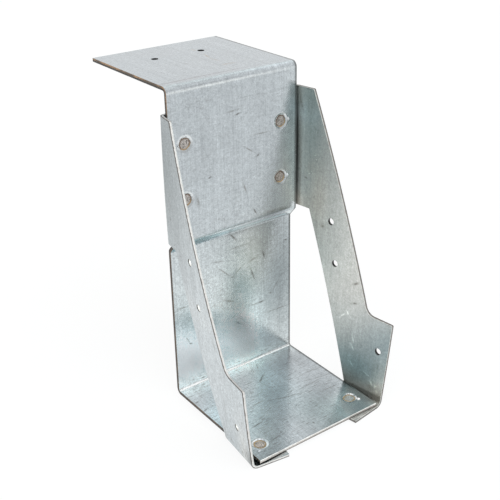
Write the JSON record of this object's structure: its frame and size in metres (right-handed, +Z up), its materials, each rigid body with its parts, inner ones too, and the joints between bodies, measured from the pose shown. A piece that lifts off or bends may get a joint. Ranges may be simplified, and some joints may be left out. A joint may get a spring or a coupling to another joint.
{
  "type": "joist hanger",
  "caption": "Top-flange sheet steel hanger that hooks over a wall and carries the end of a floor joist on its seat.",
  "frame": {"origin": "middle of the flat top face of the seat", "axes": "+Z up, +Y towards the wall that the flange hooks over, X across the joist; the joist lies along Y and enters from -Y"},
  "size_m": [0.1276, 0.1901, 0.2307],
  "materials": {
    "galvanised_steel": "satin galvanised"
  },
  "bodies": {
    "root": {"centre_strap": "galvanised_steel", "left_side_plate": "galvanised_steel", "right_side_plate": "galvanised_steel"}
  },
  "joints": []
}
